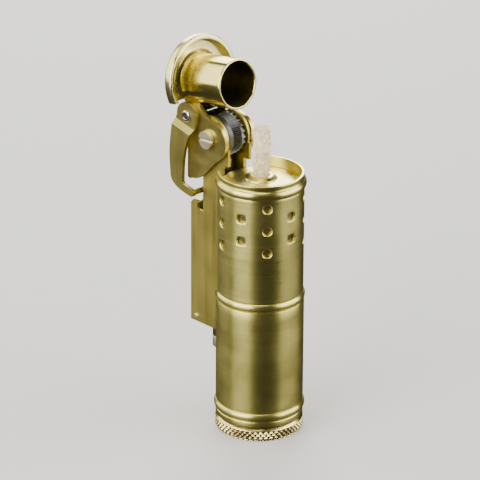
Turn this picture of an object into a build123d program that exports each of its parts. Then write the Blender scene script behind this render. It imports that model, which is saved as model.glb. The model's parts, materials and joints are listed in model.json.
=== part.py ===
from build123d import *
import os
from math import atan2, cos, degrees, pi, radians, sin

# Brass petrol lighter with a lift-arm lid, a sliding wind-screen and an outside flint housing.
#
# Millimetres, +Z up.  The origin is on the axis of the round body, in the plane of the filler
# cap's flat base.  +X runs from the flint housing (back) to the front of the body, and the
# wheel's axle is parallel to Y.  The lid is modelled closed and then swung to its open rest.

# ---- round body ----
CASING_R = 8.0
TANK_R = 7.3
TANK_WALL = 0.4
TANK_TOP = 47.4
CASING_BOTTOM = 2.75
CASING_TOP = 25.6
BEAD_Z = 4.7
BEAD_R = 8.3
BEAD_SECTION_R = 1.0     # every rolled bead is an arc of this radius
GROOVE_DEPTH = 0.12
GROOVE_W = 0.24
GROOVE_OFFSET = 0.72     # from a bead's middle to the near side of the groove beside it
NECK_BOTTOM = 2.8
FILLER_R = 8.05
FILLER_H = 2.5
PLUG_R = 4.4
PLUG_WALL = 1.2
PLUG_TOP = 6.4
RUNNING = 0.05           # radial clearance of every running fit
CUT_GAP = 0.01           # gap left where one fixed piece is shaped round another

# ---- sliding wind-screen ----
SCREEN_R = 7.83
SCREEN_BOTTOM = 25.65
SCREEN_TOP = 49.9
SCREEN_BEAD_Z = 48.05
SCREEN_BEAD_R = 8.2
FOOT_BEAD_R = 8.15
FOOT_BEAD_RISE = 0.75    # middle of the foot's bead above the sleeve's lower edge
SLOT_HALF_ANGLE = 47.0   # each cut end lies this far from the back of the body
HOLE_R = 0.7
HOLE_STEP = 35.4         # degrees between columns of holes
HOLE_PITCH = 4.25        # vertical distance between holes of one column
HOLE_TOP_Z = 45.6
SINK_GROWTH = 0.3        # how much wider than the drill a hole is at its countersink

# ---- top of the tank and the wick ----
DOME_EDGE_Z = 47.75
DOME_TOP_Z = 48.75
DOME_WALL = 0.4
DOME_RIM_H = 1.6         # depth of the plate's rim inside the tank
WICK_R = 1.45
WICK_BOTTOM = 9.0
WICK_TOP = 58.0
WICK_TUBE_R = 1.95
WICK_TUBE_BOTTOM = 43.0
WADDING_BOTTOM = 7.6
WADDING_TOP = 42.5

# ---- flint housing and wheel ----
AXLE_X = -9.9
AXLE_Z = 54.1
AXLE_R = 1.0
SHEET = 0.55
HOUSING_Y = 2.9          # outer face of each side plate
HOUSING_BACK = -15.5
HOUSING_BOTTOM = 16.9
TALL_BACK = -12.0
TALL_FRONT = -6.0
FORK_R = 4.15
FORK_FRONT = -5.5
FORK_FOOT_Z = 49.8
BEND_R = 0.5             # outside radius where the sheet turns from the sides into the back
HORN_R = 2.0
HORN_Z = 39.2
NOTCH_R = 0.8
WHEEL_R = 3.9
WHEEL_HALF = 2.05
RATCHET_TEETH = 22
RATCHET_W = 0.9
FLINT_R = 1.2
FLINT_L = 5.0
FLINT_TUBE_R = 1.75
FLINT_TUBE_BORE = 1.3
FLINT_TUBE_BOTTOM = 14.6
FLINT_SPRING_R = 1.05
FLINT_SEAT_Z = 16.6
FLINT_SEAT_T = 0.3
FOLLOWER_T = 0.8
FLINT_SCREW_BOTTOM = 12.3
WASHER_R = 1.7
AXLE_END_Y = 4.7
NUT_R = 1.8
SCREW_HEAD_R = 1.65
SCREW_HEAD_T = 0.69
SIDE_PLAY = 0.06         # between the bracket and the axle's head or nut

# ---- lid, in the closed position, measured from the axle ----
OPEN_ANGLE = 98.7
LID_P = 9.9              # lid centre ahead of the axle, so the closed lid is centred on the body
ROOF_Q = 5.5             # outer face of the roof above the axle
BRACKET_T = 0.7
ROOF_EDGE_R = 0.6        # outside radius where the roof turns down into the side plates
BRACKET_Y = 3.75
LID_R = 8.15
LID_H = 2.1
LID_RECESS_R = 7.1
LID_FLOOR = 0.6
LID_CUT_P = 7.0
SNUFFER_R = 4.6
SNUFFER_BORE = 4.1
SNUFFER_MOUTH_Q = -5.4
ROOF_T = 0.55
THUMB_P = -7.9
THUMB_Q = 6.8            # the roof rises to here behind the axle, as a thumb piece
RISE_START_P = 1.0       # where the roof starts to rise
PAWL_T = 0.2
PAWL_FRONT_P = 5.12
PAWL_HALF_W = 2.7

# ---- lever and its spring, at the open rest ----
RIVET_X = -14.6
RIVET_Z = 57.45
RIVET_SHANK_R = 0.75
RIVET_HEAD_R = 1.1
RIVET_BORE_R = 0.5
LEVER_T = 0.7
LEVER_EAR_Y = -3.82      # inner face of the ear
LEVER_JOG = 0.85         # the strip stands this much further out than the ear
FOOT_X = -12.75
FOOT_Z = 43.2
SPRING_PIN_X = -13.7
SPRING_PIN_Z = 17.9
SPRING_PIN_R = 0.5
SPRING_R = 1.05
WIRE_R = 0.2


def ring(r_out, r_in, z0, z1, x=0.0, y=0.0):
    """Round tube or washer standing on z0."""
    outer = Cylinder(r_out, z1 - z0, align=(Align.CENTER, Align.CENTER, Align.MIN))
    bore = Cylinder(r_in, z1 - z0, align=(Align.CENTER, Align.CENTER, Align.MIN))
    return Pos(x, y, z0) * (outer - bore)


def post(r, z0, z1, x=0.0, y=0.0):
    """Solid round bar standing on z0."""
    return Pos(x, y, z0) * Cylinder(r, z1 - z0, align=(Align.CENTER, Align.CENTER, Align.MIN))


def cross_bar(r, y0, y1, x, z):
    """Round bar along Y from y0 to y1."""
    bar = Cylinder(r, y1 - y0, align=(Align.CENTER, Align.CENTER, Align.MIN))
    return Pos(x, y0, z) * Rot(-90, 0, 0) * bar


def block(x0, x1, y0, y1, z0, z1):
    """Rectangular block between two corners."""
    size = Box(x1 - x0, y1 - y0, z1 - z0)
    return Pos((x0 + x1) / 2, (y0 + y1) / 2, (z0 + z1) / 2) * size


def bead(radius, z):
    """Rolled ring round the body that reaches out to a radius."""
    return Pos(0, 0, z) * Torus(radius - BEAD_SECTION_R, BEAD_SECTION_R)


def plate(face, y0, y1):
    """A face drawn as (x, z) made into a plate that spans y0 to y1."""
    solid = extrude(face, amount=y1 - y0)
    return Pos(0, y1, 0) * Rot(90, 0, 0) * solid


def turned(points):
    """Solid of revolution about Z from (radius, z) corners."""
    profile = make_face(Polyline(*points, close=True))
    return revolve(Plane.XZ * profile, Axis.Z, 360)


def coil(radius, wire_r, length, turns):
    """Helical spring along Z with its wire as a round sweep."""
    path = Helix(pitch=length / turns, height=length, radius=radius)
    start = Plane(origin=path @ 0, z_dir=path % 0)
    return sweep(start * Circle(wire_r), path, is_frenet=True)


def to_open(shape):
    """Carry lid geometry, measured from the axle in the closed position, to the open rest."""
    return Pos(AXLE_X, 0, AXLE_Z) * Rot(0, -OPEN_ANGLE, 0) * shape


def closed_offset(x, z):
    """(p, q) in the closed lid's own directions of a point given at the open rest."""
    a = radians(OPEN_ANGLE)
    dx = x - AXLE_X
    dz = z - AXLE_Z
    return dx * cos(a) + dz * sin(a), dz * cos(a) - dx * sin(a)


# =========================== body and tank ===========================

def tank_tube():
    return ring(TANK_R, TANK_R - TANK_WALL, NECK_BOTTOM, TANK_TOP)


def lower_casing():
    tube = ring(CASING_R, TANK_R, CASING_BOTTOM, CASING_TOP)
    tube += bead(BEAD_R, BEAD_Z)
    tube -= post(TANK_R, 0, CASING_TOP + 1)
    root = CASING_R - GROOVE_DEPTH
    upper = BEAD_Z + GROOVE_OFFSET
    lower = BEAD_Z - GROOVE_OFFSET
    tube -= ring(CASING_R + 1, root, upper, upper + GROOVE_W)
    return tube - ring(CASING_R + 1, root, lower - GROOVE_W, lower)


def top_plate():
    """Domed plate with a rim that fits inside the tank's mouth."""
    inner = TANK_R - TANK_WALL
    skirt = inner - DOME_WALL
    shoulder = DOME_EDGE_Z + 0.15
    middle = DOME_TOP_Z - 0.35
    outer_arc = ThreePointArc((WICK_TUBE_R, DOME_TOP_Z), (4.6, middle), (inner, shoulder))
    under_edge = (skirt, DOME_EDGE_Z - DOME_WALL)
    under_top = (WICK_TUBE_R, DOME_TOP_Z - DOME_WALL)
    inner_arc = ThreePointArc(under_edge, (4.5, middle - DOME_WALL), under_top)
    rim_low = TANK_TOP - DOME_RIM_H
    rim = Polyline((inner, shoulder), (TANK_R, DOME_EDGE_Z), (TANK_R, TANK_TOP), (inner, TANK_TOP),
                   (inner, rim_low), (skirt, rim_low), under_edge)
    bore = Line(under_top, (WICK_TUBE_R, DOME_TOP_Z))
    face = make_face([outer_arc, rim, inner_arc, bore])
    return revolve(Plane.XZ * face, Axis.Z, 360)


def wick_tube():
    """Tube that holds the wick, with a coned collar on the dome."""
    bore = WICK_R + 0.1
    return turned([(bore, WICK_TUBE_BOTTOM), (WICK_TUBE_R, WICK_TUBE_BOTTOM), (WICK_TUBE_R, DOME_TOP_Z),
                   (3.0, DOME_TOP_Z - 0.08), (2.85, DOME_TOP_Z + 0.12), (2.1, DOME_TOP_Z + 0.5),
                   (bore, DOME_TOP_Z + 0.55)])


def wick():
    return post(WICK_R, WICK_BOTTOM, WICK_TOP)


def cotton_wadding():
    return ring(TANK_R - TANK_WALL - 0.1, WICK_R + 0.02, WADDING_BOTTOM, WADDING_TOP)


def filler_neck():
    """Threaded neck soldered into the tank's foot."""
    inner = TANK_R - TANK_WALL
    bore = PLUG_R + RUNNING
    flange_top = NECK_BOTTOM + 1.0
    return turned([(bore, NECK_BOTTOM), (inner, NECK_BOTTOM), (inner, flange_top), (5.6, flange_top),
                   (5.6, 7.2), (bore, 7.2)])


def filler_gasket():
    return ring(7.1, PLUG_R + 0.3, FILLER_H, NECK_BOTTOM)


def filler_cap():
    """Knurled disc with a hollow plug."""
    chamfer_w = 0.45
    disc = turned([(0, 0), (FILLER_R - 0.3, 0), (FILLER_R, 0.3), (FILLER_R, FILLER_H - chamfer_w),
                   (FILLER_R - chamfer_w, FILLER_H), (0, FILLER_H)])
    plug = turned([(0, FILLER_H), (PLUG_R, FILLER_H), (PLUG_R, PLUG_TOP - 0.4),
                   (PLUG_R - 0.4, PLUG_TOP), (0, PLUG_TOP)])
    hollow = post(PLUG_R - PLUG_WALL, FILLER_H, PLUG_TOP + 1)
    return disc + plug - hollow


# =========================== wind-screen ===========================

def screen_holes():
    """Drilled and countersunk holes: columns of three and two, turn and turn about."""
    cutters = []
    for column in range(-3, 4):
        three = column % 2 != 0
        count = 3 if three else 2
        top = HOLE_TOP_Z if three else HOLE_TOP_Z - HOLE_PITCH / 2
        for row in range(count):
            place = Rot(0, 0, column * HOLE_STEP) * Pos(SCREEN_R, 0, top - row * HOLE_PITCH) * Rot(0, 90, 0)
            drill = Cylinder(HOLE_R, 3)
            sink = Cone(HOLE_R - 0.2, HOLE_R + SINK_GROWTH, 0.5)
            cutters.append(place * (drill + sink))
    return cutters


def windscreen_sleeve():
    inner = TANK_R + RUNNING
    tube = ring(SCREEN_R, inner, SCREEN_BOTTOM, SCREEN_TOP - 0.2)
    tube += turned([(inner, SCREEN_TOP - 0.2), (SCREEN_R, SCREEN_TOP - 0.2),
                    (SCREEN_R - 0.08, SCREEN_TOP - 0.05), (SCREEN_R - 0.2, SCREEN_TOP),
                    (inner + 0.1, SCREEN_TOP), (inner, SCREEN_TOP - 0.1)])
    tube += bead(SCREEN_BEAD_R, SCREEN_BEAD_Z)
    tube += bead(FOOT_BEAD_R, SCREEN_BOTTOM + FOOT_BEAD_RISE)
    tube &= post(SCREEN_R + 1, SCREEN_BOTTOM, SCREEN_TOP)
    tube -= post(inner, SCREEN_BOTTOM - 1, SCREEN_TOP + 1)
    for cutter in screen_holes():
        tube -= cutter
    half = radians(SLOT_HALF_ANGLE)
    reach = 14.0
    corner = (-reach * cos(half), reach * sin(half))
    wedge = make_face(Polyline((0, 0), corner, (-2 * reach, corner[1]), (-2 * reach, -corner[1]),
                               (corner[0], -corner[1]), close=True))
    return tube - Pos(0, 0, SCREEN_BOTTOM - 1) * extrude(wedge, amount=SCREEN_TOP - SCREEN_BOTTOM + 2)


# =========================== flint housing ===========================

def housing_outline():
    """Side plate in (x, z): back compartment with a curled horn, tall part and round fork."""
    corner = (Align.MIN, Align.MIN)
    back = Rectangle(TALL_BACK - HOUSING_BACK, HORN_Z - HOUSING_BOTTOM, align=corner)
    face = Pos(HOUSING_BACK, HOUSING_BOTTOM) * back
    horn_w = HORN_R + 0.9
    horn = Pos(HOUSING_BACK + HORN_R, HORN_Z) * Circle(HORN_R)
    horn += Pos(HOUSING_BACK + HORN_R, HORN_Z) * Rectangle(horn_w - HORN_R, HORN_R, align=corner)
    horn &= Pos(HOUSING_BACK, HORN_Z) * Rectangle(horn_w, HORN_R, align=corner)
    face += horn
    tall_h = AXLE_Z - 3 - HOUSING_BOTTOM
    face += Pos(TALL_BACK, HOUSING_BOTTOM) * Rectangle(TALL_FRONT - TALL_BACK, tall_h, align=corner)
    notch_x = TALL_BACK - NOTCH_R + 0.05
    notch_z = HORN_Z + NOTCH_R
    notch_w = 0.55
    face -= Pos(notch_x, notch_z) * Circle(NOTCH_R)
    face -= Pos(TALL_BACK - notch_w, notch_z) * Rectangle(notch_w, 3, align=corner)
    step_z = AXLE_Z - 1.2
    front = Rectangle(4, step_z - FORK_FOOT_Z, align=(Align.MAX, Align.MIN))
    face += Pos(FORK_FRONT, FORK_FOOT_Z) * front
    face += Pos(AXLE_X, AXLE_Z) * Circle(FORK_R)
    tangent = (AXLE_X - FORK_R * cos(0.5), AXLE_Z - FORK_R * sin(0.5))
    neck = make_face(Polyline((TALL_BACK, 48.0), tangent, (AXLE_X, AXLE_Z), (FORK_FRONT, step_z),
                              (FORK_FRONT, FORK_FOOT_Z), close=True))
    return face + neck


def flint_housing():
    """Folded sheet round the flint tube, with a fork that carries the axle."""
    outline = housing_outline()
    inner_y = HOUSING_Y - SHEET
    sides = plate(outline, -HOUSING_Y, -inner_y) + plate(outline, inner_y, HOUSING_Y)
    back_inside = HOUSING_BACK + SHEET
    wall = block(HOUSING_BACK, back_inside, -HOUSING_Y, HOUSING_Y, HOUSING_BOTTOM, HORN_Z)
    floor = block(HOUSING_BACK, -7.0, -HOUSING_Y, HOUSING_Y, HOUSING_BOTTOM, HOUSING_BOTTOM + SHEET)
    curl = Pos(HOUSING_BACK + HORN_R, HORN_Z) * (Circle(HORN_R) - Circle(HORN_R - SHEET))
    curl &= Pos(HOUSING_BACK, HORN_Z) * Rectangle(HORN_R + 0.45, HORN_R, align=(Align.MIN, Align.MIN))
    spring_way = block(back_inside + 0.1, TALL_BACK, -1.4, 1.4, HORN_Z, HORN_Z + 3)
    shell = sides + wall + floor + plate(curl, -HOUSING_Y, HOUSING_Y) - spring_way
    shell -= post(CASING_R + CUT_GAP, 0, CASING_TOP + 0.6)
    shell -= post(TANK_R + CUT_GAP, CASING_TOP + 0.5, FORK_FOOT_Z)
    shell -= post(FLINT_TUBE_R + CUT_GAP, 0, HOUSING_BOTTOM + 2, x=AXLE_X)
    shell -= cross_bar(AXLE_R + CUT_GAP, -4, 4, AXLE_X, AXLE_Z)
    shell -= cross_bar(SPRING_PIN_R, -4, 4, SPRING_PIN_X, SPRING_PIN_Z)
    footprint = Rectangle(20, 2 * HOUSING_Y, align=(Align.MIN, Align.CENTER))
    footprint = fillet(footprint.vertices().sort_by(Axis.X)[:2], BEND_R)
    return shell & Pos(HOUSING_BACK, 0, 0) * extrude(footprint, amount=AXLE_Z + FORK_R + 1)


def spring_pin():
    end = HOUSING_Y + 0.25
    return cross_bar(SPRING_PIN_R, -end, end, SPRING_PIN_X, SPRING_PIN_Z)


def flint_tube():
    top = AXLE_Z - WHEEL_R - 0.35
    tube = ring(FLINT_TUBE_R, FLINT_TUBE_BORE, FLINT_TUBE_BOTTOM, top, x=AXLE_X)
    return tube - post(TANK_R + CUT_GAP, 0, TANK_TOP + 2)


def flint():
    top = AXLE_Z - WHEEL_R - RUNNING
    rod = post(FLINT_R, top - FLINT_L, top + 1, x=AXLE_X)
    return rod - cross_bar(WHEEL_R + RUNNING, -3, 3, AXLE_X, AXLE_Z)


def flint_follower():
    """Button under the flint with a stem that guides the spring."""
    z = AXLE_Z - WHEEL_R - RUNNING - FLINT_L
    button = post(FLINT_R, z - FOLLOWER_T, z, x=AXLE_X)
    return button + post(0.6, z - 3.0, z - FOLLOWER_T, x=AXLE_X)


def flint_spring():
    top = AXLE_Z - WHEEL_R - RUNNING - FLINT_L - FOLLOWER_T - WIRE_R
    bottom = FLINT_SEAT_Z + FLINT_SEAT_T + WIRE_R
    return Pos(AXLE_X, 0, bottom) * coil(FLINT_SPRING_R - WIRE_R, WIRE_R, top - bottom, 24)


def flint_spring_seat():
    return post(FLINT_TUBE_BORE - RUNNING, FLINT_SEAT_Z, FLINT_SEAT_Z + FLINT_SEAT_T, x=AXLE_X)


def flint_screw():
    """Slotted head below the tube and a stem up to the spring's seat."""
    low = FLINT_SCREW_BOTTOM
    high = FLINT_TUBE_BOTTOM - RUNNING
    head_r = FLINT_TUBE_R
    stem_r = FLINT_TUBE_BORE - RUNNING
    screw = turned([(0, low), (head_r - 0.25, low), (head_r, low + 0.25), (head_r, high), (stem_r, high),
                    (stem_r, FLINT_SEAT_Z), (0, FLINT_SEAT_Z)])
    return Pos(AXLE_X, 0, 0) * screw - block(AXLE_X - 2, AXLE_X + 2, -0.25, 0.25, low, low + 0.6)


# =========================== wheel and axle ===========================

def spark_wheel():
    split = WHEEL_HALF - RATCHET_W
    drum = cross_bar(WHEEL_R, -WHEEL_HALF, split, AXLE_X, AXLE_Z)
    return drum - cross_bar(AXLE_R + RUNNING, -4, 4, AXLE_X, AXLE_Z)


def wheel_ratchet():
    tip = WHEEL_R
    root = WHEEL_R - 0.5
    corners = []
    for tooth in range(RATCHET_TEETH):
        a = 2 * pi * tooth / RATCHET_TEETH
        b = a + 2 * pi * 0.85 / RATCHET_TEETH
        corners.append((tip * cos(a), tip * sin(a)))
        corners.append((root * cos(b), root * sin(b)))
    face = Pos(AXLE_X, AXLE_Z) * make_face(Polyline(*corners, close=True))
    disc = plate(face, WHEEL_HALF - RATCHET_W, WHEEL_HALF)
    return disc - cross_bar(AXLE_R + RUNNING, -4, 4, AXLE_X, AXLE_Z)


def wheel_washers():
    gap_out = HOUSING_Y - SHEET
    one = cross_bar(WASHER_R, WHEEL_HALF + RUNNING, gap_out, AXLE_X, AXLE_Z)
    one -= cross_bar(AXLE_R, -4, 4, AXLE_X, AXLE_Z)
    return Compound(children=[one, mirror(one, Plane.XZ)])


def axle_screw():
    """Slotted screw that is the axle of both the wheel and the lid."""
    under_head = -BRACKET_Y - SIDE_PLAY
    face_y = under_head - SCREW_HEAD_T
    shank = cross_bar(AXLE_R, under_head, AXLE_END_Y, AXLE_X, AXLE_Z)
    head = cross_bar(SCREW_HEAD_R, face_y, under_head, AXLE_X, AXLE_Z)
    slot = Pos(AXLE_X, face_y, AXLE_Z) * Rot(0, -4, 0) * Box(4, 0.7, 0.42)
    return shank + head - slot


def axle_nut():
    nut = cross_bar(NUT_R, BRACKET_Y + SIDE_PLAY, AXLE_END_Y, AXLE_X, AXLE_Z)
    return nut - cross_bar(AXLE_R, 0, AXLE_END_Y + 1, AXLE_X, AXLE_Z)


# =========================== lid ===========================

def bracket_outline():
    """Side plate of the lid bracket in (p, q): roof, front edge, round hub lobe and thumb lobe."""
    roof = Polyline((THUMB_P + 0.5, THUMB_Q), (RISE_START_P, ROOF_Q), (LID_CUT_P, ROOF_Q))
    front = Polyline((LID_CUT_P, ROOF_Q), (6.7, 4.2), (6.4, 2.3))
    waist = Spline((6.4, 2.3), (4.5, 0.1), (3.35, -2.1), tangents=[(-0.1, -1), (-0.35, -1)])
    hub = ThreePointArc((3.35, -2.1), (-0.5, -4.6), (-3.3, -2.95))
    thumb = Spline((-3.3, -2.95), (-5.9, 0.8), (-7.75, 3.7), (THUMB_P, 5.3), tangents=[(-0.55, 1), (0, 1)])
    corner = ThreePointArc((THUMB_P, 5.3), (THUMB_P - 0.03, 6.3), (THUMB_P + 0.5, THUMB_Q))
    return make_face([roof, front, waist, hub, thumb, corner])


def bracket_web(outline):
    """Roof that joins the two side plates, rising to the thumb piece."""
    low = ROOF_Q - ROOF_T
    slope = (THUMB_Q - ROOF_Q) / (RISE_START_P - THUMB_P - 0.5)
    far = THUMB_P - 1
    far_low = low + slope * (RISE_START_P - far)
    above = THUMB_Q + 1
    strip = make_face(Polyline((far, far_low), (RISE_START_P, low), (LID_CUT_P + 1, low),
                               (LID_CUT_P + 1, above), (far, above), close=True))
    return plate(outline & strip, -BRACKET_Y, BRACKET_Y)


def is_roof_edge(edge):
    """Whether an edge is one of the long outer ones where the roof meets a side plate."""
    middle = edge.center()
    on_side = abs(abs(middle.Y) - BRACKET_Y) < 0.01
    return on_side and edge.geom_type == GeomType.LINE and middle.Z > ROOF_Q - 0.01 and edge.length > 2


def lid_bracket():
    """Folded bracket that carries the lid on the axle."""
    outline = bracket_outline()
    inner_y = BRACKET_Y - BRACKET_T
    shell = plate(outline, -BRACKET_Y, -inner_y) + plate(outline, inner_y, BRACKET_Y) + bracket_web(outline)
    shell = fillet([edge for edge in shell.edges() if is_roof_edge(edge)], ROOF_EDGE_R)
    shell -= Pos(LID_P, 0, 0) * Cylinder(SNUFFER_R + CUT_GAP, 2 * (ROOF_Q - ROOF_T - CUT_GAP))
    shell -= cross_bar(AXLE_R + RUNNING, -5, 5, 0, 0)
    rivet_p, rivet_q = closed_offset(RIVET_X, RIVET_Z)
    shell -= cross_bar(RIVET_SHANK_R, -5, 0, rivet_p, rivet_q)
    return to_open(shell)


def lid_disc():
    """Pressed disc with a rounded, turned-down rim, cut straight beside the axle."""
    top = ROOF_Q
    bottom = ROOF_Q - LID_H
    floor = ROOF_Q - LID_FLOOR
    disc = turned([(0, floor), (LID_RECESS_R - 0.3, floor), (LID_RECESS_R, floor - 0.3),
                   (LID_RECESS_R, bottom + 0.15), (LID_RECESS_R + 0.2, bottom), (LID_R - 0.6, bottom),
                   (LID_R - 0.2, bottom + 0.25), (LID_R, bottom + 0.7), (LID_R, top - 0.8),
                   (LID_R - 0.25, top - 0.25), (LID_R - 0.8, top), (0, top)])
    disc = Pos(LID_P, 0, 0) * disc
    disc -= block(LID_P - LID_R - 1, LID_CUT_P, -LID_R - 1, LID_R + 1, 0, top + 1)
    return to_open(disc)


def snuffer_tube():
    """Tube that covers the wick, flared where it meets the disc."""
    top = ROOF_Q - LID_FLOOR - CUT_GAP
    lip = 0.12
    mouth = SNUFFER_MOUTH_Q
    tube = turned([(SNUFFER_BORE, mouth + lip), (SNUFFER_BORE + lip, mouth), (SNUFFER_R - lip, mouth),
                   (SNUFFER_R, mouth + lip), (SNUFFER_R, top - 0.8), (SNUFFER_R + 0.25, top - 0.3),
                   (SNUFFER_R + 0.75, top), (SNUFFER_BORE, top)])
    tube = Pos(LID_P, 0, 0) * tube
    back = block(0, LID_CUT_P, -LID_R, LID_R, top - 1.2, top + 1)
    flange = Pos(LID_P, 0, 0) * (Cylinder(LID_R, 20) - Cylinder(SNUFFER_R, 22))
    tube -= back & flange
    tube -= block(0, LID_CUT_P, -LID_R, LID_R, ROOF_Q - ROOF_T - CUT_GAP, ROOF_Q)
    return to_open(tube)


def ratchet_pawl():
    """Spring-steel leaf under the roof, bent down ahead of the wheel, with a narrow finger."""
    half = PAWL_HALF_W
    top = ROOF_Q - ROOF_T - CUT_GAP
    front = PAWL_FRONT_P
    inside = front - PAWL_T
    leaf = block(-0.4, front, -half, half, top - PAWL_T, top)
    leaf += block(inside, front, -half, half, 0.5, top)
    finger = make_face(Polyline((inside, 0.7), (front, 0.7), (front, 0.5), (4.28, -0.25),
                                (4.18, -0.05), close=True))
    leaf += plate(finger, WHEEL_HALF - RATCHET_W + RUNNING, WHEEL_HALF - RUNNING)
    return to_open(leaf)


def pawl_rivets():
    heads = []
    head_t = 0.3
    top = ROOF_Q - ROOF_T - CUT_GAP - PAWL_T
    for side in (-1, 1):
        heads.append(Pos(2.0, side * 1.6, top - head_t / 2) * Cylinder(0.55, head_t))
    return Compound(children=[to_open(head) for head in heads])


# =========================== lever and lid spring ===========================

def lever_outline():
    """Lever in (x, z) at the open rest: round ear, bowed strip and a thin lower arm."""
    outer = Spline((-17.35, 57.0), (-17.9, 54.0), (-18.3, 50.0), (-18.05, 45.6),
                   tangents=[(-0.25, -1), (0.05, -1)])
    heel = Spline((-18.05, 45.6), (-16.4, 43.55), (-12.6, 42.6), tangents=[(0.12, -1), (1, -0.16)])
    tip = ThreePointArc((-12.6, 42.6), (-11.95, 43.2), (-12.45, 43.95))
    arm = Line((-12.45, 43.95), (-14.35, 44.4))
    inner_corner = ThreePointArc((-14.35, 44.4), (-14.8, 44.65), (-14.95, 45.2))
    inner = Spline((-14.95, 45.2), (-14.45, 50.5), (-12.6, 55.4), tangents=[(0.03, 1), (0.5, 1)])
    top = Line((-12.6, 55.4), (-17.35, 57.0))
    strip = make_face([outer, heel, tip, arm, inner_corner, inner, top])
    ear = Pos(RIVET_X, RIVET_Z) * Circle(2.6)
    link = make_face(Polyline((-17.18, 57.0), (-12.2, 56.6), (-12.5, 55.4), (-17.3, 56.6), close=True))
    return strip + ear + link


def lid_lever():
    """Flat lever with a joggle below its ear and a foot tab that the spring pulls on."""
    ear_out = LEVER_EAR_Y - LEVER_T
    strip_in = LEVER_EAR_Y - LEVER_JOG
    strip_out = strip_in - LEVER_T
    joggle_low = -0.95
    above = 9
    below = -20
    section = make_face(Polyline((LEVER_EAR_Y, above), (LEVER_EAR_Y, 0), (strip_in, joggle_low),
                                 (strip_in, below), (strip_out, below), (strip_out, joggle_low),
                                 (ear_out, 0), (ear_out, above), close=True))
    slab = extrude(Plane.YZ * section, amount=12, both=True)
    slab = Pos(-15.3, 0, 55.85) * Rot(0, 14, 0) * slab
    body = slab & plate(lever_outline(), -8, -2)
    tab_end = HOUSING_Y - 0.6
    tab = block(FOOT_X - 0.4, FOOT_X + 0.4, strip_in - 0.2, tab_end, FOOT_Z - 0.55, FOOT_Z + 0.55)
    body += fillet(tab.edges().filter_by(Axis.Y), 0.35)
    return body - cross_bar(RIVET_SHANK_R + RUNNING, -8, 0, RIVET_X, RIVET_Z)


def lever_rivet():
    """Hollow rivet that joins the lever to the bracket."""
    ear_out = LEVER_EAR_Y - LEVER_T
    plate_in = BRACKET_T - BRACKET_Y
    outer_end = ear_out - 0.4
    shank = cross_bar(RIVET_SHANK_R, outer_end, plate_in + 0.2, RIVET_X, RIVET_Z)
    head = cross_bar(RIVET_HEAD_R, outer_end, ear_out - 0.04, RIVET_X, RIVET_Z)
    head = chamfer(head.edges().filter_by(GeomType.CIRCLE).sort_by(Axis.Y)[0], 0.2)
    return shank + head - cross_bar(RIVET_BORE_R, ear_out - 1, plate_in + 1, RIVET_X, RIVET_Z)


def lid_spring():
    """Extension spring from the fixed pin to the lever's foot, leaning slightly."""
    low = Vector(SPRING_PIN_X, 0, SPRING_PIN_Z + 0.75)
    high = Vector(FOOT_X - 0.1, 0, FOOT_Z - 1.5)
    direction = high - low
    lean = degrees(atan2(direction.X, direction.Z))
    body = coil(SPRING_R - WIRE_R, WIRE_R, direction.length, 34)
    return Pos(low.X, 0, low.Z) * Rot(0, lean, 0) * body


MAKERS = [
    tank_tube, lower_casing, top_plate, wick_tube, wick, cotton_wadding, filler_neck, filler_gasket,
    filler_cap, windscreen_sleeve, flint_housing, spring_pin, flint_tube, flint, flint_follower,
    flint_spring, flint_spring_seat, flint_screw, spark_wheel, wheel_ratchet, wheel_washers,
    axle_screw, axle_nut, lid_bracket, lid_disc, snuffer_tube, ratchet_pawl, pawl_rivets, lid_lever,
    lever_rivet, lid_spring,
]

os.makedirs("parts", exist_ok=True)
for make in MAKERS:
    export_step(make(), f"parts/{make.__name__}.step")
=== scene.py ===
"""Brass petrol lighter with its lid open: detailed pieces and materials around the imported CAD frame."""
import json
import math
import random

import bmesh
import bpy
from mathutils import Matrix, Vector, noise


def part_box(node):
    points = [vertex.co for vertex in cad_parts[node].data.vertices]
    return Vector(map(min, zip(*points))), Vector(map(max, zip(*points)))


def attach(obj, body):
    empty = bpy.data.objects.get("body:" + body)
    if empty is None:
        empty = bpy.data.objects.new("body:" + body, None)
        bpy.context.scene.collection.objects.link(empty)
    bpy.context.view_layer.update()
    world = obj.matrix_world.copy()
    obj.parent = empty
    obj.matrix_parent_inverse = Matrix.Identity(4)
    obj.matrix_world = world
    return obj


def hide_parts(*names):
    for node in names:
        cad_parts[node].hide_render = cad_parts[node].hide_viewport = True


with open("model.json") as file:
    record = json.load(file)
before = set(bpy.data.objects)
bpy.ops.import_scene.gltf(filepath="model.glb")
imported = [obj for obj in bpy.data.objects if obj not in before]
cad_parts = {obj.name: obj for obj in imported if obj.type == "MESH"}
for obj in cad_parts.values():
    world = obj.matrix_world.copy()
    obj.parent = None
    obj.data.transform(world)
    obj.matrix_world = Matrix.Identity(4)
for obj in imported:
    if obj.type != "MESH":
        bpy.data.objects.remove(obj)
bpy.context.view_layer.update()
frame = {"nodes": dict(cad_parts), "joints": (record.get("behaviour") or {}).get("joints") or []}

MM = 0.001
NODES = frame["nodes"]
JOINTS = {joint["name"]: joint for joint in frame["joints"]}

# ---- places that the frame gives, in millimetres ----
AXLE_X, _, AXLE_Z = [value / MM for value in JOINTS["lid_hinge"]["pos_m"]]
OPEN_ANGLE = math.radians(JOINTS["lid_hinge"]["range_deg"][1])
# The lid's pieces are drawn shut, measured from the axle, and LID swings them open.
LID = Matrix.Translation((AXLE_X, 0, AXLE_Z)) @ Matrix.Rotation(-OPEN_ANGLE, 4, "Y")
# Turned pieces drawn about Z and placed along the axle.
ALONG_Y = Matrix.Translation((AXLE_X, 0, AXLE_Z)) @ Matrix.Rotation(math.radians(-90), 4, "X")


def corner_mm(node):
    """Lowest and highest corner of a CAD node in millimetres."""
    low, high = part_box(node)
    return low / MM, high / MM


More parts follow.
